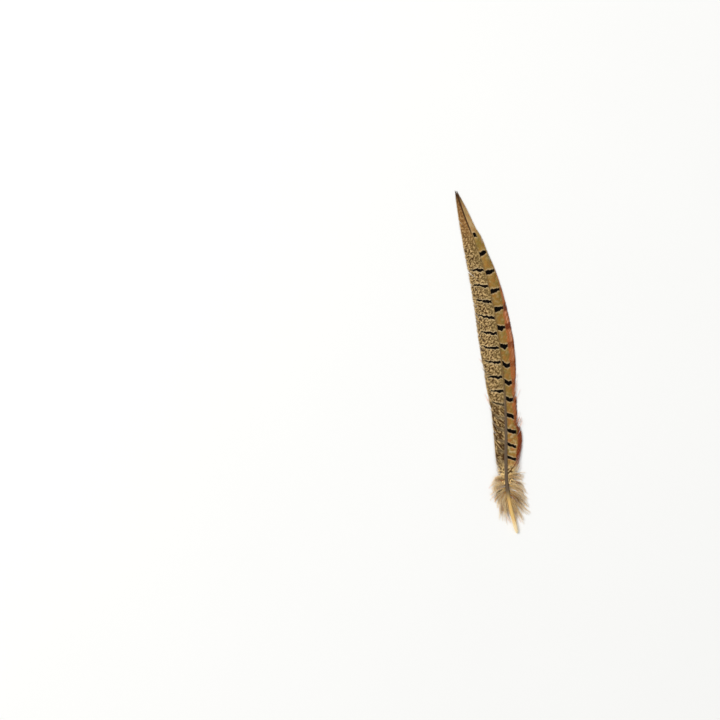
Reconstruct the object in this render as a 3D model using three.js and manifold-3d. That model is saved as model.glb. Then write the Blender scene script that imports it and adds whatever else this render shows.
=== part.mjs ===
// A pheasant's tail feather, shed or plucked, lying upper side up on a level surface.
// Millimetres. +Y runs from the quill to the tip, +X to the outer vane, +Z up from the surface.
// The feather grew as one piece: a shaft, a vane on each side of it and tufts of down at its foot.
// A share is a place along the feather, 0 at the end of the quill and 1 at the tip.
import * as THREE from "three";
import { mergeVertices } from "three/addons/utils/BufferGeometryUtils.js";
import Module from "manifold-3d";

const wasm = await Module();
wasm.setup();

// ---- Driving dimensions ----

const LENGTH = 320; // quill end to tip, straight across
const MIDDLE = { x: 4.74, y: -0.42 }; // of the feather's length and width, where the origin is
const QUILL_RADIUS = 1.8;
const SHAFT_TIP_RADIUS = 0.28;
const SHAFT_TAPER = 1.6; // power of the shaft's narrowing towards the tip
const BARE_QUILL = 0.105; // share where the quill ends and the shaft begins to narrow
const SHAFT_END = 0.985; // the last barbs reach past the shaft
const QUILL_POINT = 0.018; // share over which the quill rounds off at its end
const QUILL_END = 0.5; // the quill's radius at its very end, against its full radius

const VANE_FOOT = 0.135; // share where the lowest barb leaves the shaft
const LAST_BARB = 0.981; // share where the highest barb leaves it
const VANE_SEAT = 0.3; // height of the vanes over the shaft's centre, in shaft radii
const VANE_THICKNESS = 0.7; // beside the shaft
const EDGE_THICKNESS = 0.45;
const CAMBER = 1.5; // power of the vane's droop from shaft to edge
const VANE_OVERLAP = 0.35; // how far a vane starts inside the shaft, in shaft radii
const LONGEST_REACH = 30; // no barb ends further aside than this

const SPLIT_REACH = 7; // how far along the shaft a split bends the barbs beside it
const SPLIT_BEND = 1.5; // power of a split's pull from shaft to edge
const LINE_SPACING = 5.5; // between the barb lines that shape a vane
const VANE_STEPS = 5; // across a vane
const SHAFT_STEPS = 52;
const SHAFT_CROWDING = 1.1; // power that sets the shaft's rings closer together at the quill's end
const SHAFT_SIDES = 12;
const GROOVE_DEPTH = 0.4; // of the groove along the shaft's underside, in shaft radii

// Plan of the shaft: how far it bows to the outer side, against its share.
const bow = through(
  [0, 0], [0.08, -1.9], [0.14, -1.5], [0.2, 0.95], [0.3, 6.6], [0.4, 11], [0.5, 13.45],
  [0.6, 14.85], [0.66, 14.95], [0.75, 13.3], [0.84, 8.85], [0.92, 3.8], [1, 0],
);

// Height of the shaft's centre above the surface, past the bare quill.
const FLAT_SHARE = Math.cos(Math.PI / SHAFT_SIDES); // a flat's distance from the centre, in radii
const rise = through(
  [BARE_QUILL, QUILL_RADIUS * FLAT_SHARE], [0.2, 2.7], [0.35, 4.7], [0.5, 5.7],
  [0.65, 5.3], [0.8, 3.7], [0.9, 2.1], [1, 0.85],
);

// Each vane: its width, the height of its edge, how steeply its barbs lean to the tip,
// and its splits, each [share of the shaft, opening at the edge].
const VANES = [
  {
    side: -1,
    width: through(
      [0.13, 6], [0.18, 8.2], [0.26, 10.8], [0.34, 13], [0.42, 16], [0.5, 17.7], [0.58, 18.3],
      [0.66, 17.5], [0.74, 15.8], [0.81, 13.2], [0.87, 9.6], [0.93, 5.4], [0.975, 2.5], [1, 0.6],
    ),
    edge: through([0.13, 1.6], [0.3, 0.4], [0.42, 0], [0.7, 0], [0.85, 0.25], [1, 0.2]),
    lean: through([0.13, 0.7], [0.3, 0.95], [0.6, 1.05], [0.8, 1.4], [0.9, 2.4], [0.96, 5], [1, 9]),
    sweep: 0.35,
    splits: [[0.25, 1.4], [0.47, 0.9], [0.7, 1.6], [0.87, 1.2]],
  },
  {
    side: 1,
    width: through(
      [0.13, 9], [0.17, 10.6], [0.21, 12.9], [0.24, 14.4], [0.27, 15], [0.29, 14.3], [0.315, 11.8],
      [0.34, 11], [0.39, 11.1], [0.43, 11.7], [0.47, 12.9], [0.55, 13.9], [0.6, 13], [0.68, 11.4],
      [0.76, 9.3], [0.81, 7.7], [0.845, 7.6], [0.88, 5.7], [0.92, 4.7], [0.96, 2.9], [1, 0.5],
    ),
    edge: through([0.13, 1.9], [0.3, 0.7], [0.45, 0], [0.66, 0], [0.85, 0.35], [1, 0.2]),
    lean: through([0.13, 0.7], [0.3, 1.15], [0.6, 1.3], [0.8, 1.6], [0.9, 2.6], [0.96, 5], [1, 9]),
    sweep: 0.4,
    splits: [[0.238, 1.6], [0.345, 1.8], [0.57, 0.8], [0.8, 1.8]],
  },
];

// Tufts of down on each side: where they leave the shaft, their heading in degrees from the tip,
// how far they curl back towards the quill, their length and their width.
const OUTER_TUFTS = [
  [0.158, 60, 62, 17, 4.4], [0.147, 76, 66, 21, 5], [0.136, 92, 62, 20, 5], [0.126, 106, 60, 24, 4.8],
  [0.116, 128, 40, 26, 4.4], [0.107, 142, 30, 27, 3.8], [0.1, 158, 18, 27, 3],
];
const INNER_TUFTS = [
  [0.156, 56, 58, 15, 4.2], [0.144, 74, 62, 18, 4.8], [0.132, 92, 58, 19, 4.8], [0.121, 108, 52, 18, 4.4],
  [0.111, 130, 38, 24, 3.8], [0.101, 150, 22, 23, 3],
];
const TUFT_STEPS = 6;
const TUFT_SIDES = 6;
const TUFT_FLATNESS = 0.4; // a tuft's thickness against its width
const TUFT_STUB = 0.15; // a tuft's least width against its full width
const TUFT_SWELL = [0.15, 0.98]; // the stretch of a half wave that its width follows
const TUFT_DROOP = 1.3; // power of its fall from the shaft to its tip
const TUFT_CLEARANCE = 0.2; // under the tips of the tufts

// ---- Curves ----

/** A smooth function through [share, value] pairs, level past its ends. */
function through(...pairs) {
  const slope = (i) => {
    const [a, b] = [pairs[Math.max(i - 1, 0)], pairs[Math.min(i + 1, pairs.length - 1)]];
    return (b[1] - a[1]) / (b[0] - a[0]);
  };
  return (share) => {
    if (share <= pairs[0][0]) return pairs[0][1];
    if (share >= pairs.at(-1)[0]) return pairs.at(-1)[1];
    const i = pairs.findIndex(([s]) => s > share) - 1;
    const [[s0, v0], [s1, v1]] = [pairs[i], pairs[i + 1]];
    const span = s1 - s0;
    const t = (share - s0) / span;
    const [t2, t3] = [t * t, t * t * t];
    return (
      v0 * (2 * t3 - 3 * t2 + 1) + slope(i) * span * (t3 - 2 * t2 + t) +
      v1 * (3 * t2 - 2 * t3) + slope(i + 1) * span * (t3 - t2)
    );
  };
}

/** The shaft's radius at a share. */
function shaftRadius(share) {
  const narrowing = THREE.MathUtils.clamp((share - BARE_QUILL) / (1 - BARE_QUILL), 0, 1);
  const point = THREE.MathUtils.clamp(share / QUILL_POINT, 0, 1);
  const body = SHAFT_TIP_RADIUS + (QUILL_RADIUS - SHAFT_TIP_RADIUS) * (1 - narrowing) ** SHAFT_TAPER;
  return body * THREE.MathUtils.lerp(QUILL_END, 1, Math.sqrt(point));
}

/** The height of the shaft's centre at a share: the bare quill lies on its lowest flat. */
function shaftHeight(share) {
  return share > BARE_QUILL ? rise(share) : shaftRadius(share) * FLAT_SHARE;
}

/** A point beside the shaft: aside to the outer side, at a height. */
function beside(share, aside, height) {
  const step = 1e-3;
  const turn = Math.atan2(bow(share + step) - bow(share - step), 2 * step * LENGTH);
  return new THREE.Vector3(
    bow(share) + aside * Math.cos(turn) - MIDDLE.x,
    (share - 0.5) * LENGTH - aside * Math.sin(turn) - MIDDLE.y,
    height,
  );
}

// ---- Solids ----

/**
 * A closed geometry through rings of points, each counter-clockwise as seen from the ring before it.
 * A ring's first half faces its second, so the ends zip shut.
 */
function loft(rings) {
  const count = rings[0].length;
  const index = [];
  const quad = (a, b, c, d) => index.push(a, c, b, a, d, c);
  rings.slice(1).forEach((_, r) => {
    for (let i = 0; i < count; i++) {
      const next = (i + 1) % count;
      quad(r * count + i, r * count + next, (r + 1) * count + next, (r + 1) * count + i);
    }
  });
  const last = (rings.length - 1) * count;
  for (let i = 0; i < count / 2 - 1; i++) {
    quad(count - 1 - i, count - 2 - i, i + 1, i);
    quad(last + i, last + i + 1, last + count - 2 - i, last + count - 1 - i);
  }
  return new THREE.BufferGeometry().setFromPoints(rings.flat()).setIndex(index);
}

/** A solid of a closed geometry. */
function solid(geometry) {
  const merged = mergeVertices(geometry, 1e-4);
  return new wasm.Manifold(
    new wasm.Mesh({
      numProp: 3,
      vertProperties: merged.attributes.position.array,
      triVerts: new Uint32Array(merged.index.array),
    }),
  );
}

/** The tapering quill and shaft, with a flat underneath where the bare quill lies. */
function shaft() {
  const rings = [];
  const lowest = [(3 * SHAFT_SIDES) / 4 - 1, (3 * SHAFT_SIDES) / 4];
  for (let i = 0; i <= SHAFT_STEPS; i++) {
    const share = SHAFT_END * (i / SHAFT_STEPS) ** SHAFT_CROWDING;
    const radius = shaftRadius(share);
    const groove = GROOVE_DEPTH * radius * THREE.MathUtils.smoothstep(share, BARE_QUILL, VANE_FOOT);
    const ring = [];
    for (let j = 0; j < SHAFT_SIDES; j++) {
      const angle = (2 * Math.PI * (j + 0.5)) / SHAFT_SIDES;
      const height = shaftHeight(share) + radius * Math.sin(angle) + (lowest.includes(j) ? groove : 0);
      ring.push(beside(share, radius * Math.cos(angle), height));
    }
    rings.push(ring);
  }
  return solid(loft(rings));
}

/** How far the splits pull a barb that leaves the shaft at a share, once it is at the vane's edge. */
function splitPull(vane, share) {
  return vane.splits.reduce((pull, [at, opening]) => {
    const away = (share - at) * LENGTH;
    return pull + Math.sign(away) * (opening / 2) * Math.exp(-Math.abs(away) / SPLIT_REACH);
  }, 0);
}

/** The share where a barb lies once it is aside from the shaft. */
function barbShare(vane, root, aside, pull) {
  const width = vane.width(root);
  const out = aside / width;
  const advance = aside * (vane.lean(root) + vane.sweep * out) + pull * out ** SPLIT_BEND;
  return root + advance / LENGTH;
}

/** How far aside a barb ends, on the vane's outline. */
function barbReach(vane, root, pull) {
  let [low, high] = [0, LONGEST_REACH];
  while (high - low > 1e-3) {
    const middle = (low + high) / 2;
    const share = barbShare(vane, root, middle, pull);
    if (share < 1 && middle < vane.width(share)) low = middle;
    else high = middle;
  }
  return low;
}

/** The upper surface of a vane. */
function vaneHeight(vane, share, aside) {
  const top = shaftHeight(share) + VANE_SEAT * shaftRadius(share);
  const edge = Math.max(vane.edge(share), 0) + EDGE_THICKNESS;
  const out = THREE.MathUtils.clamp(aside / vane.width(share), 0, 1);
  return top + (edge - top) * out ** CAMBER;
}

/** One barb line as a ring: out along the upper surface and back along the lower. */
function barbRing(vane, root, pull) {
  const reach = barbReach(vane, root, pull);
  const start = -VANE_OVERLAP * shaftRadius(root);
  const [upper, lower] = [[], []];
  for (let i = 0; i <= VANE_STEPS; i++) {
    const out = i / VANE_STEPS;
    const aside = start + (reach - start) * out;
    const share = barbShare(vane, root, Math.max(aside, 0), pull);
    const height = vaneHeight(vane, share, Math.max(aside, 0));
    const thickness = THREE.MathUtils.lerp(VANE_THICKNESS, EDGE_THICKNESS, out);
    upper.push(beside(share, vane.side * aside, height));
    lower.unshift(beside(share, vane.side * aside, height - thickness));
  }
  const ring = [...upper, ...lower];
  return vane.side > 0 ? ring.reverse() : ring;
}

/** The webs of one vane, one between each split and the next. */
function vaneWebs(vane) {
  const gap = 1e-4;
  const bounds = [VANE_FOOT, ...vane.splits.map(([at]) => at), LAST_BARB];
  return bounds.slice(1).map((to, i) => {
    const from = bounds[i];
    const lines = Math.max(3, Math.ceil(((to - from) * LENGTH) / LINE_SPACING));
    const rings = [];
    for (let j = 0; j <= lines; j++) {
      const root = THREE.MathUtils.lerp(from + gap, to - gap, j / lines);
      rings.push(barbRing(vane, root, splitPull(vane, root)));
    }
    return solid(loft(rings));
  });
}

/** A tapering tuft of down, curling back towards the quill as it leaves the shaft. */
function tuft(side, [root, heading, curl, length, width]) {
  const rings = [];
  let [share, aside] = [root, 0];
  for (let i = 0; i <= TUFT_STEPS; i++) {
    const out = i / TUFT_STEPS;
    const angle = THREE.MathUtils.degToRad(heading + curl * out);
    const swell = Math.sin(Math.PI * THREE.MathUtils.lerp(...TUFT_SWELL, out));
    const half = (width / 2) * THREE.MathUtils.lerp(TUFT_STUB, 1, swell);
    const thick = TUFT_FLATNESS * half;
    const height = THREE.MathUtils.lerp(shaftHeight(root), thick + TUFT_CLEARANCE, out ** TUFT_DROOP);
    const ring = [];
    for (let j = 0; j < TUFT_SIDES; j++) {
      const turn = (2 * Math.PI * (j + 0.5)) / TUFT_SIDES;
      const across = half * Math.cos(turn);
      ring.push(
        beside(
          share - (across * Math.sin(angle)) / LENGTH,
          side * (aside + across * Math.cos(angle)),
          height + thick * Math.sin(turn),
        ),
      );
    }
    rings.push(side < 0 ? ring.reverse() : ring);
    share += ((length / TUFT_STEPS) * Math.cos(angle)) / LENGTH;
    aside += (length / TUFT_STEPS) * Math.sin(angle);
  }
  return solid(loft(rings));
}

/** A mesh of a solid. */
function meshOf(body, name, material) {
  const { numProp, vertProperties, triVerts } = body.getMesh();
  const points = [];
  for (let i = 0; i < vertProperties.length; i += numProp) {
    points.push(new THREE.Vector3().fromArray(vertProperties, i));
  }
  const geometry = new THREE.BufferGeometry().setFromPoints(points).setIndex([...triVerts]);
  const mesh = new THREE.Mesh(geometry, material);
  mesh.name = name;
  return mesh;
}

// ---- The feather ----

const barredBuff = new THREE.MeshStandardMaterial({ color: 0x93703c, roughness: 0.6, metalness: 0 });
const outerTufts = OUTER_TUFTS.map((shape) => tuft(1, shape));
const innerTufts = INNER_TUFTS.map((shape) => tuft(-1, shape));
const pieces = [shaft(), ...VANES.flatMap(vaneWebs), ...outerTufts, ...innerTufts];
const whole = pieces.reduce((joined, piece) => joined.add(piece));

const feather = new THREE.Group();
feather.add(meshOf(whole, "feather", barredBuff));

export default feather;
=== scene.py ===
"""A pheasant's tail feather, dressed barb by barb around its solid model.

The feather lies upper side up on a pale floor. A share is a place along it, 0 at the end of the quill
and 1 at the tip. Aside is the distance from the middle of the shaft. The curves and the other lengths
below are millimetres of a feather 320 mm long, and the whole feather follows the length that is set.
"""
import math
from dataclasses import dataclass
from typing import Callable

import bpy
import numpy as np
from bpy.props import FloatProperty, FloatVectorProperty, IntProperty, PointerProperty
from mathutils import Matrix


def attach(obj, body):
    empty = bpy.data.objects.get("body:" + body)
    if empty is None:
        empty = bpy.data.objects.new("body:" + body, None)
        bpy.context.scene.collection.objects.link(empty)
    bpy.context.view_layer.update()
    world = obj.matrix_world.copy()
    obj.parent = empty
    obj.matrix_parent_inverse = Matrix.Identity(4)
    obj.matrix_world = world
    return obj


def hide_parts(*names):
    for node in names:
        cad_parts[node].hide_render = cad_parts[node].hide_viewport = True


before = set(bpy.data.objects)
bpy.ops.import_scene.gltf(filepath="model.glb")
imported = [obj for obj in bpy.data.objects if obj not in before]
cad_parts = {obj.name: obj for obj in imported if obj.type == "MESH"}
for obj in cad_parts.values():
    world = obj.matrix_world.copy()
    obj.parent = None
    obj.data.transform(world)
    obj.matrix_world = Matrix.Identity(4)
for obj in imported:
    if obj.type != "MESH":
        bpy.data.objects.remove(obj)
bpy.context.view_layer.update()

bl_info = {
    "name": "Barred Tail Feather",
    "version": (1, 0, 0),
    "blender": (4, 5, 0),
    "location": "View3D > Sidebar > Feather",
    "description": "Builds a pheasant's tail feather from its single barbs",
    "category": "Add Mesh",
}

# ---- The feather's shape, as in the solid model ----

LENGTH = 320.0
MIDDLE = (4.74, -0.42)  # of the feather's length and width, where the origin is
BARE_QUILL = 0.105  # share where the quill ends and the shaft begins to narrow
SHAFT_END = 0.985
QUILL_POINT = 0.018  # share over which the quill rounds off at its end
QUILL_END = 0.5  # the quill's radius at its very end, against its full radius
FLAT_SHARE = math.cos(math.pi / 12)  # how low the quill's underside is, in radii
VANE_FOOT = 0.135
LAST_BARB = SHAFT_END - 0.004
VANE_SEAT = 0.3  # height of the vanes over the shaft's middle, in shaft radii
LONGEST_REACH = 30.0  # no barb ends further aside than this
EDGE_THICKNESS = 0.45
CAMBER = 1.5  # power of the vane's droop from shaft to edge
SPLIT_REACH = 7.0  # how far along the shaft a split bends the barbs beside it
SPLIT_BEND = 1.5  # power of a split's pull from shaft to edge
TUFT_DROOP = 1.3  # power of the down's fall from the shaft to its tips
TUFT_CLEARANCE = 0.2  # under the barbs of the down
BARBULE_CLEARANCE = 0.05
BARB_CLEARANCE = 0.22  # under the middle of a vane's barbs


def through(*pairs):
    """A smooth function through (share, value) pairs, level past its ends."""
    at, value = np.array(pairs, float).T
    before = np.maximum(np.arange(len(at)) - 1, 0)
    after = np.minimum(np.arange(len(at)) + 1, len(at) - 1)
    slope = (value[after] - value[before]) / (at[after] - at[before])

    def curve(share):
        share = np.asarray(share, float)
        i = np.clip(np.searchsorted(at, share, side="right") - 1, 0, len(at) - 2)
        span = at[i + 1] - at[i]
        t = np.clip((share - at[i]) / span, 0, 1)
        ends = value[i] * (2 * t**3 - 3 * t**2 + 1) + value[i + 1] * (3 * t**2 - 2 * t**3)
        bends = slope[i] * (t**3 - 2 * t**2 + t) + slope[i + 1] * (t**3 - t**2)
        return ends + span * bends

    return curve


bow = through(
    (0, 0), (0.08, -1.9), (0.14, -1.5), (0.2, 0.95), (0.3, 6.6), (0.4, 11), (0.5, 13.45),
    (0.6, 14.85), (0.66, 14.95), (0.75, 13.3), (0.84, 8.85), (0.92, 3.8), (1, 0),
)


@dataclass
class Vane:
    """One vane: its outline, the height of its edge, the lean of its barbs, its splits and its bars."""

    name: str
    side: int
    width: Callable
    edge: Callable
    lean: Callable
    sweep: float
    splits: tuple  # of (share of the shaft, opening at the edge)
    bars: Callable  # the number of each bar, against its share beside the shaft
    bar_wander: float  # how far a bar wanders along the feather, against the gap to the next
    bar_rise: Callable  # how far a bar climbs to the tip for each millimetre aside
    bar_bend: float  # aside, where a bar's tail begins
    bar_tail: float  # how long the tail is, before the bar goes on straight aside
    tail_rise: Callable  # how far the tail climbs for each millimetre
    wisps: tuple  # of (share of the shaft, spread, number of barbs that stray past the edge)


INNER = Vane(
    name="inner_vane",
    side=-1,
    width=through(
        (0.13, 6), (0.18, 8.2), (0.26, 10.8), (0.34, 13), (0.42, 16), (0.5, 17.7), (0.58, 18.3),
        (0.66, 17.5), (0.74, 15.8), (0.81, 13.2), (0.87, 9.6), (0.93, 5.4), (0.975, 2.5), (1, 0.6),
    ),
    edge=through((0.13, 1.6), (0.3, 0.4), (0.42, 0), (0.7, 0), (0.85, 0.25), (1, 0.2)),
    lean=through((0.13, 0.7), (0.3, 0.95), (0.6, 1.05), (0.8, 1.4), (0.9, 2.4), (0.96, 5), (1, 9)),
    sweep=0.35,
    splits=((0.25, 1.4), (0.47, 0.9), (0.7, 1.6), (0.87, 1.2)),
    bars=through(
        (0.146, -4), (0.204, -2), (0.263, 0), (0.328, 2), (0.406, 4), (0.4885, 6), (0.573, 8),
        (0.665, 10), (0.758, 12), (0.855, 14),
    ),
    bar_wander=0.3,
    bar_rise=through(
        (0.3, 0.2), (0.37, 0.3), (0.41, 0.1), (0.5, 0.12), (0.58, 0.1), (0.62, 0.15), (0.76, 0.28),
    ),
    bar_bend=5.0,
    bar_tail=20.0,
    tail_rise=through((0.3, 0.4), (0.38, 0.35), (0.42, 0.15), (0.5, 0.25), (0.58, 0.35), (0.76, 0.36)),
    wisps=((0.3, 0.01, 3), (0.4, 0.01, 3)),
)
OUTER = Vane(
    name="outer_vane",
    side=1,
    width=through(
        (0.13, 9), (0.17, 10.6), (0.21, 12.9), (0.24, 14.4), (0.27, 15), (0.29, 14.3), (0.315, 11.8),
        (0.34, 11), (0.39, 11.1), (0.43, 11.7), (0.47, 12.9), (0.55, 13.9), (0.6, 13), (0.68, 11.4),
        (0.76, 9.3), (0.81, 7.7), (0.845, 7.6), (0.88, 5.7), (0.92, 4.7), (0.96, 2.9), (1, 0.5),
    ),
    edge=through((0.13, 1.9), (0.3, 0.7), (0.45, 0), (0.66, 0), (0.85, 0.35), (1, 0.2)),
    lean=through((0.13, 0.7), (0.3, 1.15), (0.6, 1.3), (0.8, 1.6), (0.9, 2.6), (0.96, 5), (1, 9)),
    sweep=0.4,
    splits=((0.238, 1.6), (0.345, 1.8), (0.57, 0.8), (0.8, 1.8)),
    bars=through(
        (0.146, -2), (0.183, -1), (0.222, 0), (0.2975, 2), (0.3875, 4), (0.489, 6), (0.589, 8),
        (0.694, 10), (0.8025, 12), (0.862, 13), (0.92, 14),
    ),
    bar_wander=0.12,
    bar_rise=through(
        (0.17, 0), (0.22, -0.35), (0.34, -0.35), (0.385, -0.45), (0.435, -0.75), (0.485, -0.9),
        (0.535, -0.55), (0.587, -0.25), (0.64, 0), (0.75, 0.05), (0.8, 0.2), (0.86, -0.3),
    ),
    bar_bend=4.4,
    bar_tail=3.6,
    tail_rise=through(
        (0.22, -0.35), (0.34, -0.25), (0.385, 0), (0.435, 0.3), (0.485, 0.5), (0.587, 0.3),
        (0.64, 0.12), (0.75, 0.15), (0.8, 0.25), (0.86, -0.3),
    ),
    wisps=((0.36, 0.012, 11), (0.268, 0.009, 11)),
)

# Tufts of down: where they leave the shaft, their heading in degrees from the tip, how far they
# curl back towards the quill, and their length.
OUTER_TUFTS = (
    (0.158, 60, 62, 17), (0.147, 76, 66, 21), (0.136, 92, 62, 20), (0.126, 106, 60, 24),
    (0.116, 128, 40, 26), (0.107, 142, 30, 27), (0.1, 158, 18, 27),
)
INNER_TUFTS = (
    (0.156, 56, 58, 15), (0.144, 74, 62, 18), (0.132, 92, 58, 19), (0.121, 108, 52, 18),
    (0.111, 130, 38, 24), (0.101, 150, 22, 23),
)

quill_rise = through(
    (BARE_QUILL, 1.8 * FLAT_SHARE), (0.2, 2.7), (0.35, 4.7), (0.5, 5.7),
    (0.65, 5.3), (0.8, 3.7), (0.9, 2.1), (1, 0.85),
)


# ---- What a user would change ----


def paint(code):
    """A colour's linear red, green and blue from its six-digit web code."""
    shades = [int(code[i : i + 2], 16) / 255 for i in (0, 2, 4)]
    return tuple(s / 12.92 if s <= 0.04045 else ((s + 0.055) / 1.055) ** 2.4 for s in shades)


def colour(name, description, code):
    """A colour property with a web code as its default."""
    return FloatVectorProperty(
        name=name, description=description, default=paint(code), subtype="COLOR", min=0, max=1
    )


def distance(name, description, default):
    """A length property, in metres."""
    return FloatProperty(
        name=name, description=description, default=default, min=0, unit="LENGTH", precision=5
    )


class FeatherSizes(bpy.types.PropertyGroup):
    """Sizes of the whole feather and its shaft."""

    length: distance("Length", "From the end of the quill to the tip, straight across", 0.32)
    quill_radius: distance("Quill Radius", "Of the bare quill", 0.0018)
    tip_radius: distance("Shaft Tip Radius", "Of the shaft at its end", 0.00028)
    taper: FloatProperty(
        name="Taper", description="Power of the shaft's narrowing", default=1.6, min=0.5, max=4
    )
    groove: FloatProperty(
        name="Groove", description="Depth of the groove under the shaft, in shaft radii",
        default=0.42, min=0, max=0.8, subtype="FACTOR",
    )


class BarbSettings(bpy.types.PropertyGroup):
    """How the barbs of the two vanes are made."""

    count: IntProperty(
        name="Barbs", description="Barbs on each side of the shaft", default=720, min=50, max=1500
    )
    steps: IntProperty(name="Steps", description="Stretches along one barb", default=17, min=4, max=40)
    overlap: FloatProperty(
        name="Overlap", description="Width of a barb against the gap to the next",
        default=1.32, min=0.3, max=2,
    )
    ridge: distance("Ridge", "How far a barb's ridge stands above its edges", 0.00005)
    keel: distance("Keel", "How far a barb's keel reaches below its edges", 0.00012)
    tilt: FloatProperty(
        name="Tilt", description="How far a barb tilts to lie on its neighbour",
        default=math.radians(13), subtype="ANGLE",
    )
    fray: distance("Fray", "How far barbs stray along the edge", 0.00022)
    ruffle: distance("Ruffle", "How far the edge waves up and down", 0.0002)
    fine_splits: IntProperty(
        name="Fine Splits", description="Small notches in each edge", default=16, min=0, max=60
    )
    seed: IntProperty(name="Seed", description="Picks another set of barbs", default=7)


class DownSettings(bpy.types.PropertyGroup):
    """How the down at the foot of the vanes is made."""

    count: IntProperty(
        name="Down Barbs", description="On each side of the shaft", default=100, min=5, max=200
    )
    strand: IntProperty(name="Strand", description="Barbs that cling together", default=3, min=1, max=10)
    spacing: distance("Barbule Spacing", "Along a barb of down", 0.00045)
    barbule: distance("Barbule Length", "At the middle of a barb", 0.0016)
    barb_radius: distance("Barb Radius", "Of a barb of down where it leaves the shaft", 0.00013)
    barbule_radius: distance("Barbule Radius", "Of a barbule at its foot", 0.00004)
    fluff: distance("Fluff", "How far the down stands above and below its mean height", 0.0022)
    seed: IntProperty(name="Seed", description="Picks another set of down", default=3)


class MarkingSettings(bpy.types.PropertyGroup):
    """Colours and bars of the feather."""

    ochre: colour("Ochre", "Outer vane between its bars", "9e7a39")
    pale_ochre: colour("Pale Ochre", "Outer vane towards the tip", "ad8843")
    moss: colour("Moss", "Patches between the bars of the outer vane", "8d7c3c")
    copper: colour("Copper", "Outer vane's edge, and streaks on the quill and in the down", "be7441")
    maroon: colour("Maroon", "The copper band where a bar meets it, and low down", "7c3a1d")
    buff: colour("Buff", "Inner vane between its markings", "967c50")
    olive: colour("Olive", "Both vanes beside the shaft", "866f43")
    umber: colour("Umber", "Fine lines of the inner vane, its foot and dark strands of down", "4a3119")
    black: colour("Black", "The bars", "0b0603")
    halo: colour("Halo", "Pale border of the bars, and pale patches of the outer vane", "d2b788")
    fringe: colour("Fringe", "Pale flecks and outermost edge of the inner vane", "cdac77")
    brown: colour("Brown", "Inner side of the tip, and strands of down", "94693a")
    pale_tip: colour("Pale Tip", "Outer side of the tip", "c4a270")
    beige: colour("Beige", "Mottled foot of the vanes, and strands of down", "f2cf8e")
    underside: colour("Underside", "What the underside fades to", "a3937a")
    quill: colour("Quill", "The bare quill", "dfb96e")
    quill_end: colour("Quill End", "The clear end of the quill", "f8e2b4")
    mauve: colour("Mauve", "The shaft's lower half", "61503d")
    shaft: colour("Shaft", "The shaft's upper half", "755a2e")
    tip_line: colour("Tip Line", "The shaft's end, and the vanes beside it", "3c2009")
    down: colour("Down", "The down at the foot", "ffe6b6")
    down_foot: colour("Down Foot", "The down where it leaves the shaft", "efc77c")
    wisp: colour("Wisp", "Barb ends that stray past the edge, and tips of down", "f8bd9f")
    bar_density: FloatProperty(
        name="Bar Density", description="Number of bars against the usual number", default=1, min=0.3, max=3
    )
    bar_thickness: FloatProperty(
        name="Bar Thickness", description="Of the bars against the usual thickness", default=1, min=0.2, max=3
    )


class StudioSettings(bpy.types.PropertyGroup):
    """Floor, light and camera."""

    floor: colour("Floor", "The plain floor", "f6f6f4")
    key_power: FloatProperty(
        name="Key Light", description="Power of the large soft light", default=125, min=0, unit="POWER"
    )
    sky_strength: FloatProperty(
        name="Sky", description="Strength of the even light from all round", default=0.5, min=0
    )
    lens: FloatProperty(
        name="Lens", description="The camera's focal length in millimetres", default=135, min=1
    )


def settings():
    """The scene's feather settings."""
    return bpy.context.scene.feather


# ---- Places on the feather ----


def smoothstep(value, low, high):
    """0 below low and 1 above high, with a smooth climb between."""
    t = np.clip((value - low) / (high - low), 0, 1)
    return t * t * (3 - 2 * t)


def shaft_radius(share):
    """The shaft's radius at a share."""
    sizes = settings().sizes
    unit = sizes.length / LENGTH
    foot, end = sizes.quill_radius / unit, sizes.tip_radius / unit
    narrowing = np.clip((share - BARE_QUILL) / (1 - BARE_QUILL), 0, 1)
    point = np.clip(share / QUILL_POINT, 0, 1)
    body = end + (foot - end) * (1 - narrowing) ** sizes.taper
    return body * (QUILL_END + (1 - QUILL_END) * np.sqrt(point))


def shaft_height(share):
    """The height of the shaft's middle above the floor."""
    return np.where(share > BARE_QUILL, quill_rise(share), shaft_radius(share) * FLAT_SHARE)


def beside(share, aside, height):
    """Points beside the shaft, aside to the outer side."""
    step = 1e-3
    turn = np.arctan2(bow(share + step) - bow(share - step), 2 * step * LENGTH)
    x = bow(share) + aside * np.cos(turn) - MIDDLE[0]
    y = (share - 0.5) * LENGTH - aside * np.sin(turn) - MIDDLE[1]
    return np.stack(np.broadcast_arrays(x, y, height), -1)


def split_pull(splits, share, reach=SPLIT_REACH):
    """How far splits pull a barb along the feather, at the vane's edge."""
    pull = np.zeros_like(share)
    for at, opening in splits:
        away = (share - at) * LENGTH
        pull += np.sign(away) * opening / 2 * np.exp(-np.abs(away) / reach)
    return pull


def barb_share(vane, root, aside, pull=0.0):
    """The share where a barb lies once it is aside from the shaft."""
    out = aside / vane.width(root)
    return root + (aside * (vane.lean(root) + vane.sweep * out) + pull * out**SPLIT_BEND) / LENGTH


def barb_reach(vane, root, pull):
    """How far aside each barb ends, on the vane's outline."""
    low, high = np.zeros_like(root), np.full_like(root, LONGEST_REACH)
    for _ in range(16):
        middle = (low + high) / 2
        share = barb_share(vane, root, middle, pull)
        inside = (share < 1) & (middle < vane.width(share))
        low, high = np.where(inside, middle, low), np.where(inside, high, middle)
    return low


def vane_height(vane, share, aside):
    """The upper surface of a vane."""
    top = shaft_height(share) + VANE_SEAT * shaft_radius(share)
    edge = np.maximum(vane.edge(share), 0) + EDGE_THICKNESS
    out = np.clip(aside / vane.width(share), 0, 1)
    return top + (edge - top) * out**CAMBER


# ---- Meshes ----


def unit_vectors(vectors):
    """The vectors at length 1."""
    return vectors / np.maximum(np.linalg.norm(vectors, axis=-1, keepdims=True), 1e-9)


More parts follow.
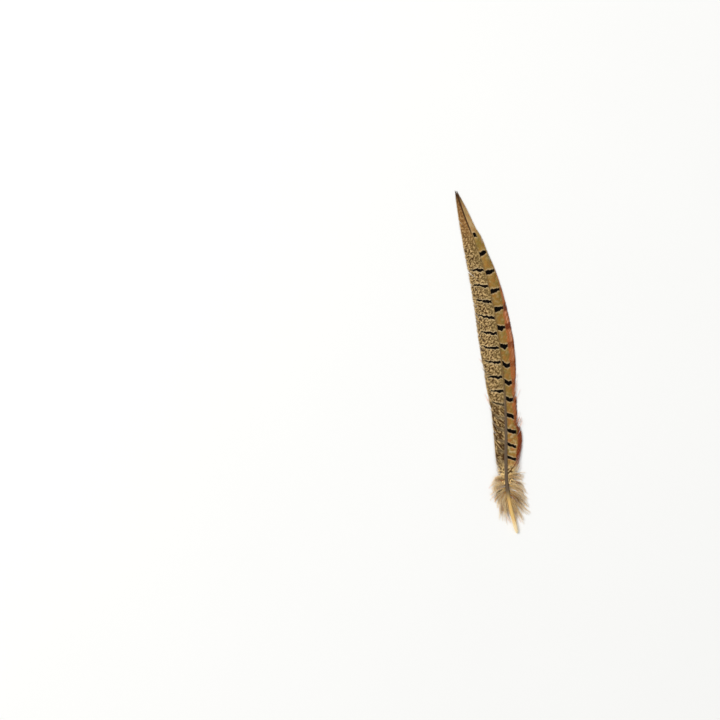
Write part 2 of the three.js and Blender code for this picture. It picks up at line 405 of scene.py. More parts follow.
def tube_faces(shape):
    """The side faces and the end faces of tubes, from their numbers of lines, steps and corners."""
    index = np.arange(np.prod(shape)).reshape(shape)
    near, far = index[:, :-1], index[:, 1:]
    sides = np.stack([near, far, np.roll(far, -1, 2), np.roll(near, -1, 2)], -1)
    ends = np.stack([index[:, 0], index[:, -1, ::-1]], 1)
    return sides, ends


def strands(lines, across, up, section):
    """Closed thin solids along lines of points.

    A section's corners run counter-clockwise, seen along the line, in shares of across and up.
    Gives the corners by line, step and corner of the section, the side faces and the end faces.
    """
    section = np.array(section, float)
    offsets = section[:, :1] * across[:, :, None] + section[:, 1:] * up[:, :, None]
    points = lines[:, :, None] + offsets
    return points, *tube_faces(points.shape[:3])


def placed(name, data):
    """A new object in the scene, in place of an older one of that name."""
    old = bpy.data.objects.get(name)
    if old:
        bpy.data.objects.remove(old)
    made = bpy.data.objects.new(name, data)
    bpy.context.scene.collection.objects.link(made)
    return made


def mesh_piece(name, points, faces, finish, traits=None, maps=None, crease=70):
    """A piece of the feather that rides on its body and stands for the solid feather."""
    mesh = bpy.data.meshes.new(name)
    scale = settings().sizes.length / LENGTH
    corners = [list(face) for group in faces for face in group.reshape(-1, group.shape[-1]).tolist()]
    mesh.from_pydata((points.reshape(-1, 3) * scale).tolist(), [], corners)
    for trait, values in (traits or {}).items():
        layer = mesh.attributes.new(trait, "FLOAT_VECTOR", "POINT")
        layer.data.foreach_set("vector", values.reshape(-1).astype(np.float32))
    if maps is not None:
        layer = mesh.uv_layers.new(name="OFBake")
        layer.data.foreach_set("uv", np.concatenate([m.reshape(-1) for m in maps]).astype(np.float32))
    mesh.shade_smooth()
    mesh.set_sharp_from_angle(angle=math.radians(crease))
    if mesh.validate():
        raise RuntimeError(f"{name} has faces that don't hold together")
    mesh.materials.append(finish)
    piece = placed(name, mesh)
    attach(piece, "root")
    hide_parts("feather")
    return piece


# ---- Finishes ----


class Value:
    """A socket of a finish. Python's operators on it add Math nodes."""

    def __init__(self, finish, socket):
        self.finish = finish
        self.socket = socket

    def math(self, operation, *terms):
        """What a Math node makes of its terms."""
        return self.finish.add("ShaderNodeMath", {"operation": operation}, dict(enumerate(terms)))

    def __add__(self, other):
        return self.math("ADD", self, other)

    def __sub__(self, other):
        return self.math("SUBTRACT", self, other)

    def __rsub__(self, other):
        return self.math("SUBTRACT", other, self)

    def __mul__(self, other):
        return self.math("MULTIPLY", self, other)

    def __truediv__(self, other):
        return self.math("DIVIDE", self, other)

    def __rtruediv__(self, other):
        return self.math("DIVIDE", other, self)

    def __abs__(self):
        return self.math("ABSOLUTE", self)

    __radd__ = __add__
    __rmul__ = __mul__

    def fraction(self):
        """What is past the last whole number."""
        return self.math("FRACT", self)

    def at_most(self, limit):
        """The value, or the limit where the value is past it."""
        return self.math("MINIMUM", self, limit)

    def wave(self):
        """A sine that repeats for each whole number."""
        return self.math("SINE", self * math.tau)

    def bump(self, width):
        """1 where the value is 0, falling to 0 at a width on either side."""
        return abs(self).climb(width, 0.3 * width)

    def climb(self, low, high):
        """0 at low and 1 at high, with a smooth climb between, or the other way round."""
        sockets = {"Value": self, "From Min": low, "From Max": high}
        return self.finish.add("ShaderNodeMapRange", {"interpolation_type": "SMOOTHSTEP"}, sockets)


class Finish:
    """A node material under construction."""

    def __init__(self, name):
        old = bpy.data.materials.get(name)
        if old:
            bpy.data.materials.remove(old)
        self.material = bpy.data.materials.new(name)
        self.material.use_nodes = True
        self.tree = self.material.node_tree
        self.tree.nodes.clear()

    def add(self, kind, choices=(), sockets=(), output=0):
        """Adds a node: its settings first, then a number or a link for each of its sockets."""
        node = self.tree.nodes.new(kind)
        for name, choice in dict(choices).items():
            setattr(node, name, choice)
        for name, value in dict(sockets).items():
            if isinstance(value, Value):
                self.tree.links.new(value.socket, node.inputs[name])
            else:
                node.inputs[name].default_value = value
        return Value(self, node.outputs[output])

    def trait(self, name):
        """The three numbers that each point of the mesh keeps under a name."""
        vector = self.add("ShaderNodeAttribute", {"attribute_name": name}, output=1)
        split = self.add("ShaderNodeSeparateXYZ", sockets={"Vector": vector})
        return [Value(self, split.socket.node.outputs[i]) for i in range(3)]

    def noise(self, x, y, detail=2.0, roughness=0.5, z=0.0):
        """Smooth noise about one half, with one bump for each whole number of x and y."""
        place = self.add("ShaderNodeCombineXYZ", sockets={"X": x, "Y": y, "Z": z})
        sockets = {"Vector": place, "Scale": 1.0, "Detail": detail, "Roughness": roughness}
        return self.add("ShaderNodeTexNoise", {"noise_dimensions": "3D"}, sockets)

    def mix(self, share, first, second):
        """A colour between two, all second where the share is 1."""
        sockets = {0: share, 6: opaque(first), 7: opaque(second)}
        return self.add("ShaderNodeMix", {"data_type": "RGBA"}, sockets, output=2)

    def dim(self, shade, factor):
        """A colour made darker or lighter."""
        return self.add("ShaderNodeVectorMath", {"operation": "SCALE"}, {0: shade, "Scale": factor})

    def surface(self, shade, roughness, height=None, depth=0.0, **uniform):
        """Ends the finish with a plastic-like surface, and gives its material."""
        sockets = {"Base Color": opaque(shade), "Roughness": roughness}
        sockets.update({name.replace("_", " "): number for name, number in uniform.items()})
        if height is not None:
            bump = {"Height": height, "Strength": 1.0, "Distance": depth}
            sockets["Normal"] = self.add("ShaderNodeBump", sockets=bump)
        shader = self.add("ShaderNodeBsdfPrincipled", sockets=sockets)
        out = self.tree.nodes.new("ShaderNodeOutputMaterial")
        self.tree.links.new(shader.socket, out.inputs["Surface"])
        return self.material


def opaque(shade):
    """A colour's numbers with full alpha, or its link."""
    return shade if isinstance(shade, Value) else (*shade[:3], 1.0)


def outer_ground(finish, place, look):
    """The outer vane between its bars: ochre, with a copper band along its edge."""
    aside, along, margin, share, barb, patch, from_bar = place
    shade = finish.mix(share.climb(0.72, 0.88), look.ochre, look.pale_ochre)
    shade = finish.mix(aside.climb(3.0, 0.5) * 0.3, shade, look.olive)
    shade = finish.mix(patch.climb(0.5, 0.36) * 0.7, shade, look.moss)
    shade = finish.mix(share.climb(0.84, 0.89) * (0.55 + 0.45 * patch), shade, look.pale_tip)
    warm = finish.noise(aside * 0.35 + barb * 0.8, along * 0.3, detail=2.0, z=8.0)
    shade = finish.mix(warm.climb(0.5, 0.62) * (0.35 + 0.25 * share.climb(0.45, 0.3)), shade, look.copper)
    shade = finish.mix(warm.climb(0.5, 0.35) * (0.3 + 0.5 * share.climb(0.36, 0.24)), shade, look.halo)
    broad = 1.0 + 4.8 * share.climb(0.74, 0.56) - 1.7 * share.climb(0.5, 0.4)
    band = (broad - margin + (patch - 0.5) * 3 + (barb - 0.5) * 1.2).climb(-0.7, 0.7)
    band = band * share.climb(0.17, 0.22) * share.climb(0.8, 0.7)
    salmon = barb.climb(0.35, 0.8) * (margin - 2.3).bump(1.5) * (share - 0.575).bump(0.1)
    copper = finish.mix(salmon * 0.6, look.copper, look.wisp)
    low = share.climb(0.34, 0.28)
    rim = margin.climb(1.8, 0.6) * (share.climb(0.52, 0.4) * 0.3 + share.climb(0.68, 0.62) * 0.5)
    spot = from_bar.climb(0.24, 0.1) * share.climb(0.74, 0.62) * (0.5 + 0.5 * share.climb(0.52, 0.57))
    shade = finish.mix(band, shade, copper)
    return finish.mix(band * (low + rim + spot).at_most(0.95), shade, look.maroon)


def inner_ground(finish, place, look):
    """The inner vane between its bars: buff, with fine broken lines of umber and cream."""
    aside, along, margin, share, barb, patch, from_bar = place
    shade = finish.mix(aside.climb(9.0, 2.0), look.buff, look.olive)
    shade = finish.mix(share.climb(0.8, 0.92), shade, look.brown)
    worm = finish.noise((aside + along) * 0.5 + barb * 0.25, (aside - along) * 0.36, detail=2.0, z=2.0)
    broken = finish.noise(aside * 0.4, along * 0.4, detail=1.0, z=7.0).climb(0.3, 0.55)
    strength = (0.6 + 0.4 * aside.climb(2.0, 7.0)) * (0.6 + 0.4 * broken)
    strength = strength * (1 - 0.45 * share.climb(0.8, 0.92))
    shade = finish.mix(worm.climb(0.47, 0.41) * strength, shade, look.fringe)
    shade = finish.mix(worm.climb(0.5, 0.555) * strength, shade, look.umber)
    slant = finish.noise(aside * 0.25 + barb * 0.4, (along - aside) * 0.55, detail=3.0, z=12.0)
    low = share.climb(0.4, 0.33)
    shade = finish.mix(slant.climb(0.46, 0.52) * low, shade, look.umber)
    shade = finish.mix(slant.climb(0.42, 0.34) * low * 0.8, shade, look.fringe)
    return finish.mix(margin.climb(1.2, 0.2) * 0.7, shade, look.fringe)


def vane_finish(vane):
    """The markings of one vane, drawn along its barbs."""
    look = settings().markings
    finish = Finish(f"{vane.name}_barbs")
    aside, along, margin = finish.trait("place")
    bar, barb, under = finish.trait("growth")
    share = along / LENGTH
    patch = finish.noise(aside * 0.16, along * 0.1, z=4.0)
    grain = finish.noise(aside * 0.9, along * 0.9, detail=3.0)
    ripple = finish.noise(aside * 0.34, along * 0.12, detail=2.0, z=9.0)
    swell = finish.noise(aside * 0.5, along * 0.5, detail=2.0, z=6.0)
    astray = (barb - 0.5) * 0.06 + (ripple - 0.5) * vane.bar_wander
    from_bar = abs((bar + astray + 0.5).fraction() - 0.5)
    place = aside, along, margin, share, barb, patch, from_bar

    if vane is OUTER:
        shade = outer_ground(finish, place, look)
        tail = aside.climb(4.4, 7.0) * share.climb(0.3, 0.42)
        thickness = 0.138 - 0.02 * share.climb(0.6, 0.7) - 0.02 * share.climb(0.34, 0.22) - 0.045 * tail
        thickness = thickness + (swell - 0.5) * 0.06
        limit = 7.7 + 1.4 * share.climb(0.6, 0.66) * share.climb(0.8, 0.74) + 1.9 * share.climb(0.33, 0.29)
        reach = (limit - aside + (grain - 0.5) * 2).climb(-0.4, 0.4) * margin.climb(0.6, 1.2)
        reach = reach * (1 - share.climb(0.82, 0.84) * abs(aside - 2.3).climb(1.2, 1.7))
        reach = reach * share.climb(0.17, 0.215) * share.climb(0.885, 0.875)
    else:
        shade = inner_ground(finish, place, look)
        thickness = 0.1 - 0.03 * aside.climb(6.0, 12.0) + (swell - 0.5) * 0.12
        reach = (margin + (grain - 0.5) * 6).climb(2.0, 4.2) * (0.4 + 0.6 * share.climb(0.3, 0.4))
        reach = reach * share.climb(0.79, 0.775) * share.climb(0.17, 0.2) * aside.climb(0.5, 0.9)

    thickness = thickness * look.bar_thickness
    rest = (1 - under.climb(0.55, 0.7)) * reach
    shade = finish.mix(from_bar.climb(thickness + 0.09, thickness + 0.02) * rest * 0.7, shade, look.halo)
    foot = (share + (grain - 0.5) * 0.05).climb(0.215, 0.175)
    loose = finish.mix((barb * 0.6 + swell * 1.8).climb(1.16, 1.36), look.beige, look.umber)
    shade = finish.mix(foot, shade, loose)
    line = aside.climb(0.9, 0.45) * share.climb(0.865, 0.885)
    tip = share.climb(0.9, 1.0) * 0.5 + share.climb(0.965, 0.985) * 0.4
    shade = finish.mix((line + tip).at_most(0.9), shade, look.tip_line)
    bars = from_bar.climb(thickness + 0.014, thickness - 0.014) * reach
    shade = finish.mix(bars * (1 - foot * 0.6), shade, look.black)
    frayed = (share - 0.405).bump(0.03) + (share - 0.325).bump(0.016) if vane is OUTER else 0.0
    stray_ends = margin.climb(-0.1, -0.8) + margin.climb(1.6, 0.4) * frayed
    shade = finish.mix(stray_ends.at_most(0.9), shade, look.wisp)
    shade = finish.mix(under.climb(0.55, 0.7) * 0.5, shade, look.underside)
    streak = (0.28 + 0.4 * foot) * (barb - 0.5)
    shade = finish.dim(shade, 0.96 + 0.1 * foot + streak + 0.3 * (patch - 0.5) + 0.34 * (grain - 0.5))
    fine = finish.noise(aside * 3.0, along * 3.0, detail=3.0, z=5.0)
    return finish.surface(shade, 0.6 + 0.2 * grain, fine, depth=0.00006, Specular_IOR_Level=0.05)


def shaft_finish():
    """Clear yellow with copper streaks at the quill, grey above it and brown towards the tip."""
    look = settings().markings
    finish = Finish("shaft_keratin")
    around, along, lift = finish.trait("place")
    share = along / LENGTH
    streak = finish.noise(around * 4.0, along * 0.06, detail=3.0)
    cloud = finish.noise(around * 0.8, along * 0.2, z=3.0)
    shade = finish.mix((share + (cloud - 0.5) * 0.04).climb(0.05, 0.012), look.quill, look.quill_end)
    pith = (along * 0.42 + cloud * 1.4).wave().climb(0.0, 1.0) * share.climb(0.09, 0.07)
    shade = finish.mix(pith * 0.16, shade, look.quill_end)
    shade = finish.mix(streak.climb(0.52, 0.64) * (0.2 + 0.4 * cloud), shade, look.copper)
    shade = finish.mix((share + (streak - 0.5) * 0.03).climb(0.085, 0.13), shade, look.mauve)
    shade = finish.mix((share + (streak - 0.5) * 0.08).climb(0.34, 0.46), shade, look.shaft)
    shade = finish.mix(share.climb(0.855, 0.875) * 0.9, shade, look.tip_line)
    shade = finish.mix(lift.climb(0.1, -0.5) * share.climb(0.1, 0.14) * 0.7, shade, look.underside)
    shade = finish.dim(shade, 0.85 + 0.3 * streak)
    return finish.surface(
        shade, 0.36 + 0.2 * streak, streak, depth=0.00005,
        Specular_IOR_Level=0.25, Subsurface_Weight=0.12, Subsurface_Scale=0.002,
    )


def down_finish():
    """Cream down with beige, brown, copper and dark strands, yellower where it leaves the shaft."""
    look = settings().markings
    finish = Finish("down_fluff")
    out, chance, _ = finish.trait("growth")
    shade = finish.mix(out.climb(0.0, 0.5), look.down_foot, look.down)
    shade = finish.mix(chance.climb(0.4, 0.6) * 0.7, shade, look.beige)
    shade = finish.mix(chance.climb(0.62, 0.7) * out.climb(1.0, 0.7) * 0.6, shade, look.brown)
    shade = finish.mix(out.climb(0.6, 1.0) * chance.climb(0.3, 0.2), shade, look.wisp)
    shade = finish.mix(chance.climb(0.82, 0.84) * out.climb(0.95, 0.4), shade, look.copper)
    shade = finish.mix(chance.climb(0.9, 0.91) * out.climb(1.0, 0.6), shade, look.umber)
    shade = finish.dim(shade, 0.88 + 0.16 * (chance * 7.0).fraction())
    return finish.surface(shade, 0.8, Specular_IOR_Level=0.1)


def floor_finish():
    """A plain pale floor with the faintest mottle."""
    finish = Finish("pale_floor")
    place = finish.add("ShaderNodeTexCoord", output=3)
    mottle = finish.add("ShaderNodeTexNoise", sockets={"Vector": place, "Scale": 6.0, "Detail": 4.0})
    shade = finish.dim(tuple(settings().studio.floor), 0.99 + 0.02 * mottle)
    return finish.surface(shade, 0.7 + 0.1 * mottle, Specular_IOR_Level=0.2)


# ---- The pieces ----

SHAFT_STEPS = 170
SHAFT_SIDES = 28
SHAFT_CROWDING = 1.15  # power that sets the shaft's rings closer together at the quill's end
# The pit in the end of the quill, from its floor to its rim: shares, and radii against the end's.
PIT = ((0.011, 0.05), (0.011, 0.3), (0.004, 0.42), (0.0006, 0.55), (0.0, 0.8))
DOWN_STEPS = 11
BARBULE_STRETCH = (0.06, 0.99)  # of a barb of down, where its barbules stand


def make_shaft():
    """The quill and shaft: round and open-ended at the foot, grooved below between the vanes."""
    share = SHAFT_END * (np.arange(SHAFT_STEPS + 1) / SHAFT_STEPS) ** SHAFT_CROWDING
    radius = shaft_radius(share)
    height = shaft_height(share)
    pit_share, pit_radius = np.array(PIT).T
    share = np.concatenate([pit_share, share])
    radius = np.concatenate([radius[0] * pit_radius, radius])
    height = np.concatenate([np.full(len(PIT), height[0]), height])
    angle = math.tau * np.arange(SHAFT_SIDES) / SHAFT_SIDES
    # The shaft is round at the quill, and squarer between the vanes.
    square = 2 + 0.8 * smoothstep(share, 0.1, 0.2)[:, None]
    across = np.sign(np.cos(angle)) * np.abs(np.cos(angle)) ** (2 / square)
    lift = np.sign(np.sin(angle)) * np.abs(np.sin(angle)) ** (2 / square)
    groove = settings().sizes.groove * smoothstep(share, BARE_QUILL, VANE_FOOT)[:, None]
    lift = lift + groove * np.exp(-((across / 0.38) ** 2)) * (np.sin(angle) < 0)
    points = beside(
        share[:, None], across * radius[:, None], height[:, None] + lift * radius[:, None] * FLAT_SHARE
    )[None]
    place = np.stack(np.broadcast_arrays(across * radius[:, None], share[:, None] * LENGTH, lift), -1)
    row = np.linspace(0, 0.98, len(share))[:-1, None, None]
    column = (np.arange(SHAFT_SIDES)[None, :, None] + np.array([0, 0, 1, 1])) / SHAFT_SIDES
    high = row + np.array([0, 1, 1, 0]) * 0.98 / (len(share) - 1)
    side_map = np.stack(np.broadcast_arrays(column, high), -1)
    round_map = 0.5 + 0.5 * np.stack([np.cos(angle), np.sin(angle)], -1)
    end_maps = [0.015 * round_map + (0.0, 0.983), 0.015 * round_map[::-1] + (0.5, 0.983)]
    mesh_piece(
        "shaft", points, tube_faces(points.shape[:3]), shaft_finish(),
        traits={"place": place}, maps=[side_map, *end_maps], crease=50,
    )


def scattered(random, roots, every, size):
    """Smooth random numbers along the shaft, about one bump for each stretch of that length."""
    knots = np.linspace(0, 1, int(LENGTH / every))
    return np.interp(roots, knots, random.normal(0, size, len(knots)))


def make_vane(vane):
    """One vane of single barbs, each a closed ridge that lies on its neighbour."""
    barbs = settings().barbs
    scale = settings().sizes.length / LENGTH
    fray, ruffle = barbs.fray / scale, barbs.ruffle / scale
    random = np.random.default_rng(barbs.seed + vane.side)
    count = barbs.count
    roots = np.linspace(VANE_FOOT, LAST_BARB, count)
    out = np.linspace(0, 1, barbs.steps + 1)
    loose = 1 - smoothstep(roots, VANE_FOOT, VANE_FOOT + 0.06)

    pull = split_pull(vane.splits, roots)
    reach = barb_reach(vane, roots, pull) * (1 + random.normal(0, 0.012, count))
    slim = np.ones(count)
    lifted = random.normal(0, 0.03, count)
    for at, spread, number in vane.wisps:
        chosen = np.searchsorted(roots, at + random.normal(0, spread, number))
        reach -= (1.2 + 0.5 * vane.side) * np.exp(-(((roots - at) / (1.5 * spread)) ** 2))
        reach[chosen] += random.uniform(1.4, 4.0, number)
        pull[chosen] += random.uniform(0.3, 2.2, number)
        slim[chosen] = 1.3
        lifted[chosen] += random.uniform(0.3, 1.2, number)
    reach += loose * random.uniform(-2.5, 1.2, count)

    radius = shaft_radius(roots)
    lap = smoothstep(roots, 0.22, 0.34) * (1 - smoothstep(roots, 0.8, 0.88))
    start = (0.85 - 0.35 * lap) * radius
    aside = start[:, None] + (reach - start)[:, None] * out
    rest = barb_share(vane, roots[:, None], aside)
    notches = [
        (random.uniform(VANE_FOOT, 0.9), random.uniform(0.3, 1.1)) for _ in range(barbs.fine_splits)
    ]
    notch = split_pull(notches, roots, reach=2.2)[:, None] * np.clip((out - 0.45) / 0.55, 0, 1) ** 1.3
    stray = scattered(random, roots, 7, 1.2 * fray) + random.normal(0, 0.4 * fray, count) * (1 + 6 * loose)
    opened = notch + pull[:, None] * out**3.5 + stray[:, None] * out**2
    share = rest + opened / LENGTH
    flat = vane_height(vane, rest, aside) - 0.5 * EDGE_THICKNESS * out
    flat += (0.62 * lap * radius)[:, None] * np.exp(-2.0 * (aside / radius[:, None] - 0.5).clip(0))
    wave = scattered(random, roots, 9, ruffle) + lifted + loose * random.normal(0.3, 0.5, count)
    height = np.maximum(flat + wave[:, None] * out**2, BARB_CLEARANCE)

    lines = beside(share, vane.side * aside, height)
    calm = beside(rest, vane.side * aside, flat)
    ahead = unit_vectors(np.gradient(lines, axis=1))
    gap = np.gradient(calm, axis=0)
    gap -= (gap * ahead).sum(-1, keepdims=True) * ahead
    up = np.cross(ahead, gap)
    up = unit_vectors(up * np.sign(up[..., 2:]))
    right = np.cross(ahead, up)
    taper = (0.85 + 0.15 * smoothstep(out, 0, 0.08)) * (1 - 0.8 * smoothstep(out, 0.94, 1.0))
    breadth = 0.5 * barbs.overlap * np.linalg.norm(gap, axis=-1) * taper
    breadth *= slim[:, None] * (1 - 0.6 * loose[:, None] * out)
    tilted = right * math.cos(barbs.tilt) - vane.side * up * math.sin(barbs.tilt)
    ridge = barbs.ridge / scale * (0.35 + 0.65 * taper)
    keel = barbs.keel / barbs.ridge
    corners = ((1, 0), (0, 1), (-1, 0), (0, -keel))
    points, sides, ends = strands(lines, tilted * breadth[..., None], up * ridge[:, None], corners)

    straight = np.minimum(aside, vane.bar_bend)
    tail = np.clip(aside - vane.bar_bend, 0, vane.bar_tail)
    climb = vane.bar_rise(rest) * straight + vane.tail_rise(rest) * tail
    level = rest - climb / LENGTH
    phase = vane.bars(level) * settings().markings.bar_density
    place = np.stack([aside, rest * LENGTH, vane.width(rest) - aside], -1)
    tone = 0.5 + scattered(random, roots, 1.3, 0.22) + random.normal(0, 0.14, count)
    chance = np.broadcast_to(np.clip(tone, 0, 1)[:, None], aside.shape)
    below = np.broadcast_to(np.array([0.5, 0, 0.5, 1]), points.shape[:3])
    growth = np.stack(np.broadcast_arrays(phase[..., None], chance[..., None], below), -1)
    place = np.broadcast_to(place[:, :, None], points.shape)
    mesh_piece(
        vane.name, points, [sides, ends], vane_finish(vane),
        traits={"place": place, "growth": growth}, maps=barb_maps(count, barbs.steps),
    )


def barb_maps(count, steps):
    """The vane spread flat for baking: its upper side in one half of the map, its underside in the other."""
    corner = np.arange(4)
    offset = np.array([0.5, 0, -0.5, 0])
    barb, step = np.arange(count)[:, None, None, None], np.arange(steps)[None, :, None, None]
    around = np.stack([corner, corner, (corner + 1) % 4, (corner + 1) % 4], -1)
    u = (0.01 + 0.98 * (step + np.array([0, 1, 1, 0])) / steps) / 2 + 0.5 * (corner >= 2)[:, None]
    v = (barb + 0.5 + offset[around]) / count
    sides = np.stack(np.broadcast_arrays(u, v), -1)
    tall = np.array([0, 1, 0, -1]) * 0.002
    starts = np.stack(np.broadcast_arrays(0.0025 + tall, (barb[:, 0, 0] + 0.5 + offset) / count), -1)
    finishes = starts[:, ::-1] + (0.494, 0)
    return sides, np.stack([starts, finishes], 1)


def make_down(name, side, tufts, seed, finish):
    """The loose down on one side: thin barbs, each with barbules on both sides."""
    down = settings().down
    scale = settings().sizes.length / LENGTH
    random = np.random.default_rng(seed)
    out = np.linspace(0, 1, DOWN_STEPS + 1)
    tuft = np.array(tufts, float)
    barb = np.arange(down.count)
    strand = barb // (down.strand * len(tufts)) * len(tufts) + barb % len(tufts)

    def strewn(apart, together):
        """Random numbers that differ more between strands than within one."""
        swing = apart * random.normal(0, 1, strand.max() + 1).clip(-1.1, 1.1)
        return swing[strand] + random.normal(0, together, down.count)

    # Each barb strays a little from the tufts that it lies between.
    pick = barb % len(tufts) + strewn(0.25, 0.05)
    root, heading, curl, length = (np.interp(pick, np.arange(len(tufts)), tuft[:, i]) for i in range(4))
    root = root + strewn(0.004, 0.001)
    heading = heading + strewn(8, 3)
    curl = curl + strewn(14, 5)
    length = length * random.uniform(0.5, 0.97, down.count)
    bend = np.radians(heading[:, None] + curl[:, None] * out)
    bend += np.radians(random.normal(0, 7, (down.count, 1))) * np.sin(math.tau * out)
    stretch = (length / DOWN_STEPS)[:, None]
    share = root[:, None] + np.cumsum(stretch * np.cos(bend), 1) / LENGTH
    aside = np.cumsum(stretch * np.sin(bend), 1)
    lofty = (0.25 + strewn(0.4, 0.12))[:, None].clip(-0.5, 1)
    fluff = lofty * down.fluff / scale * np.sin(math.pi * out**0.8 * 0.85)
    foot = shaft_height(root)[:, None]
    height = foot + (TUFT_CLEARANCE + 0.5 - foot) * out**TUFT_DROOP + fluff
    height = np.maximum(height, TUFT_CLEARANCE)
    lines = beside(share, side * aside, height)
    ahead = unit_vectors(np.gradient(lines, axis=1))
    sky = np.broadcast_to((0.0, 0.0, 1.0), ahead.shape)
    right = unit_vectors(np.cross(ahead, sky))
    up = np.cross(right, ahead)
    thin = down.barb_radius / scale * (1 - 0.7 * out)[None, :, None]
    triangle = [(math.cos(a), math.sin(a)) for a in (0, math.tau / 3, 2 * math.tau / 3)]
    barb_points, barb_sides, barb_ends = strands(lines, right * thin, up * thin, triangle)

    nodes = np.round(length.max() / (down.spacing / scale)).astype(int)
    at = np.linspace(*BARBULE_STRETCH, nodes)
    spot = at * DOWN_STEPS
    low = np.minimum(spot.astype(int), DOWN_STEPS - 1)
    part = (spot - low)[None, :, None]

    def along(values):
        """The values of a barb's steps, at the feet of its barbules."""
        return values[:, low] * (1 - part) + values[:, low + 1] * part

    shape = (down.count, nodes, 2)
    hand = np.array([1.0, -1.0])
    lead = np.radians(random.normal(40, 9, shape))[..., None]
    roll = np.radians(random.normal(0, 30, shape))[..., None]
    reach = down.barbule / scale * (0.35 + 0.65 * np.sin(math.pi * (0.12 + 0.8 * at)))[None, :, None]
    reach = reach * random.uniform(0.5, 1.15, shape)
    forward = along(ahead)[:, :, None]
    aslant = along(right)[:, :, None] * hand[:, None] * np.cos(roll) + along(up)[:, :, None] * np.sin(roll)
    course = forward * np.cos(lead) + aslant * np.sin(lead)
    foot = along(lines)[:, :, None] + 0 * course
    half = foot + course * reach[..., None] * 0.55
    tip = foot + (course + 0.22 * forward) * reach[..., None]
    threads = np.stack([foot, half, tip], 3).reshape(-1, 3, 3)
    threads[..., 2] = np.maximum(threads[..., 2], BARBULE_CLEARANCE)
    ahead = unit_vectors(np.gradient(threads, axis=1))
    right = unit_vectors(np.cross(ahead, np.broadcast_to((0.0, 0.0, 1.0), ahead.shape)))
    up = np.cross(right, ahead)
    thin = down.barbule_radius / scale * np.array([1, 0.75, 0.3])[None, :, None]
    thread_points, thread_sides, thread_ends = strands(threads, right * thin, up * thin, triangle)

    barb_size = barb_points[..., 0].size
    points = np.concatenate([barb_points.reshape(-1, 3), thread_points.reshape(-1, 3)])
    faces = [barb_sides, barb_ends, thread_sides + barb_size, thread_ends + barb_size]
    chance = 0.5 + strewn(0.3, 0.1)
    barb_growth = np.stack(
        np.broadcast_arrays(out[None, :, None], chance[:, None, None], np.zeros((1, 1, 3))), -1
    )
    thread_growth = np.stack(
        np.broadcast_arrays(at[None, :, None, None], chance[:, None, None, None], np.ones((1, 1, 2, 9))), -1
    )
    growth = np.concatenate([barb_growth.reshape(-1, 3), thread_growth.reshape(-1, 3)])
    mesh_piece(name, points, faces, finish, traits={"growth": growth}, crease=180)


# ---- The studio ----

IMAGE_SIZE = 720
QUILL_PIXEL = (517.1, 532.9)  # where the end of the quill shows, from the image's upper left corner
TIP_PIXEL = (455.5, 189.5)
SENSOR = 36.0
FLOOR_HALF = 3.0  # metres
FILL_SHARE = 0.25  # the fill light's power against the key light's


def make_studio():
    """A pale floor, an even sky, one large soft light and a camera that looks straight down."""
    studio = settings().studio
    scene = bpy.context.scene
    scene.view_settings.view_transform = "Standard"
    scene.view_settings.look = "None"

    half = FLOOR_HALF
    mesh = bpy.data.meshes.new("floor")
    corners = [(-half, -half, 0), (half, -half, 0), (half, half, 0), (-half, half, 0)]
    mesh.from_pydata(corners, [], [(0, 1, 2, 3)])
    mesh.materials.append(floor_finish())
    floor = placed("floor", mesh)

    world = bpy.data.worlds.get("sky") or bpy.data.worlds.new("sky")
    world.use_nodes = True
    sky = world.node_tree.nodes["Background"].inputs
    sky["Color"].default_value = (1, 1, 1, 1)
    sky["Strength"].default_value = studio.sky_strength
    scene.world = world

    for name, place, size, power in (
        ("key_light", (-2.4, 1.9, 3.0), 2.2, studio.key_power),
        ("fill_light", (2.6, -1.6, 3.2), 3.0, studio.key_power * FILL_SHARE),
    ):
        lamp = bpy.data.lights.new(name, "AREA")
        lamp.shape = "DISK"
        lamp.size = size
        lamp.energy = power
        light = placed(name, lamp)
        light.location = place
        light.rotation_euler = (-light.location).to_track_quat("-Z", "Y").to_euler()
        light.visible_camera = False

    quill, tip = np.array(QUILL_PIXEL), np.array(TIP_PIXEL)
    across, climb = tip[0] - quill[0], quill[1] - tip[1]
    pixel = settings().sizes.length / math.hypot(across, climb)
    lean = math.atan2(across, climb)  # of the feather in the image, clockwise from upright
    right = np.array([math.cos(lean), math.sin(lean)])
    upward = np.array([-right[1], right[0]])
    off = (quill + tip) / 2 - IMAGE_SIZE / 2
    unit = settings().sizes.length / LENGTH
    chord_middle = -np.array(MIDDLE) * unit
    aim = chord_middle - (off[0] * right - off[1] * upward) * pixel
    lens = bpy.data.cameras.new("camera")
    lens.lens = studio.lens
    lens.sensor_width = SENSOR
    camera = placed("camera", lens)
    camera.location = (*aim, IMAGE_SIZE * pixel * studio.lens / SENSOR)
    camera.rotation_euler = (0, 0, lean)
    scene.camera = camera


# ---- The add-on ----


class FeatherSettings(bpy.types.PropertyGroup):
    """All of the feather's settings."""

    sizes: PointerProperty(type=FeatherSizes)
    barbs: PointerProperty(type=BarbSettings)
    down: PointerProperty(type=DownSettings)
    markings: PointerProperty(type=MarkingSettings)
    studio: PointerProperty(type=StudioSettings)


class FEATHER_OT_shaft(bpy.types.Operator):
    """Makes the quill and the shaft"""

    bl_idname = "feather.shaft"
    bl_label = "Make Shaft"

    def execute(self, context):
        make_shaft()
        return {"FINISHED"}


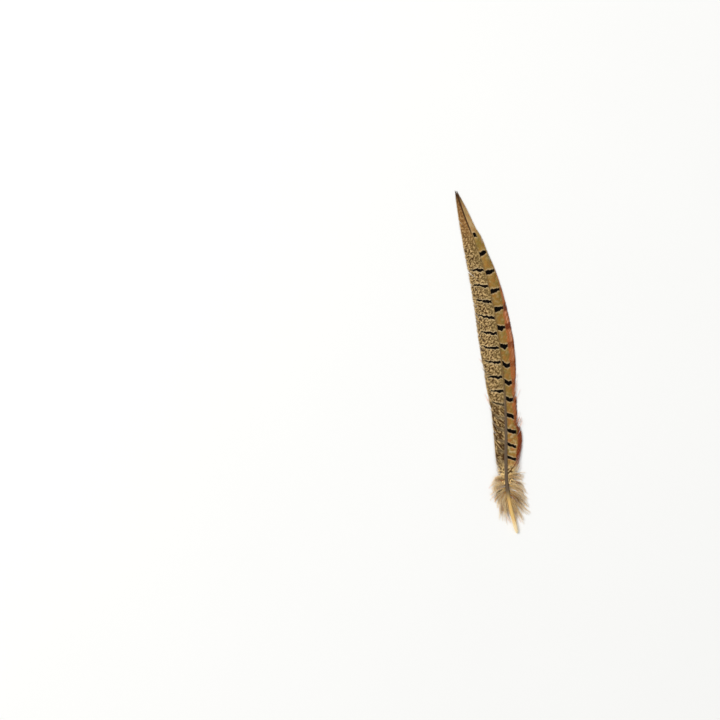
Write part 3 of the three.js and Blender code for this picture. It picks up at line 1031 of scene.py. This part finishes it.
class FEATHER_OT_vanes(bpy.types.Operator):
    """Makes the inner and the outer vane from single barbs"""

    bl_idname = "feather.vanes"
    bl_label = "Make Vanes"

    def execute(self, context):
        make_vane(INNER)
        make_vane(OUTER)
        return {"FINISHED"}


class FEATHER_OT_down(bpy.types.Operator):
    """Makes the down at the foot of both vanes"""

    bl_idname = "feather.down"
    bl_label = "Make Down"

    def execute(self, context):
        seed, finish = context.scene.feather.down.seed, down_finish()
        make_down("inner_down", -1, INNER_TUFTS, seed, finish)
        make_down("outer_down", 1, OUTER_TUFTS, seed + 1, finish)
        return {"FINISHED"}


class FEATHER_OT_studio(bpy.types.Operator):
    """Makes the floor, the lights and the camera"""

    bl_idname = "feather.studio"
    bl_label = "Make Studio"

    def execute(self, context):
        make_studio()
        return {"FINISHED"}


class FEATHER_PT_panel(bpy.types.Panel):
    """Lists the feather's settings and operators"""

    bl_idname = "FEATHER_PT_panel"
    bl_label = "Tail Feather"
    bl_space_type = "VIEW_3D"
    bl_region_type = "UI"
    bl_category = "Feather"

    def draw(self, context):
        feather = context.scene.feather
        groups = (
            (feather.sizes, "feather.shaft"), (feather.barbs, "feather.vanes"),
            (feather.down, "feather.down"), (feather.markings, None), (feather.studio, "feather.studio"),
        )
        for group, operator in groups:
            box = self.layout.box()
            for name in group.__annotations__:
                box.prop(group, name)
            if operator:
                box.operator(operator)


CLASSES = (
    FeatherSizes, BarbSettings, DownSettings, MarkingSettings, StudioSettings, FeatherSettings,
    FEATHER_OT_shaft, FEATHER_OT_vanes, FEATHER_OT_down, FEATHER_OT_studio, FEATHER_PT_panel,
)


def register():
    """Registers the classes and gives each scene its settings."""
    for each in CLASSES:
        bpy.utils.register_class(each)
    bpy.types.Scene.feather = PointerProperty(type=FeatherSettings)


def unregister():
    """Takes away the settings and the classes."""
    del bpy.types.Scene.feather
    for each in reversed(CLASSES):
        bpy.utils.unregister_class(each)


def main():
    """Makes the feather and its studio."""
    register()
    bpy.ops.feather.studio()
    bpy.ops.feather.shaft()
    bpy.ops.feather.vanes()
    bpy.ops.feather.down()


if __name__ == "__main__":
    main()
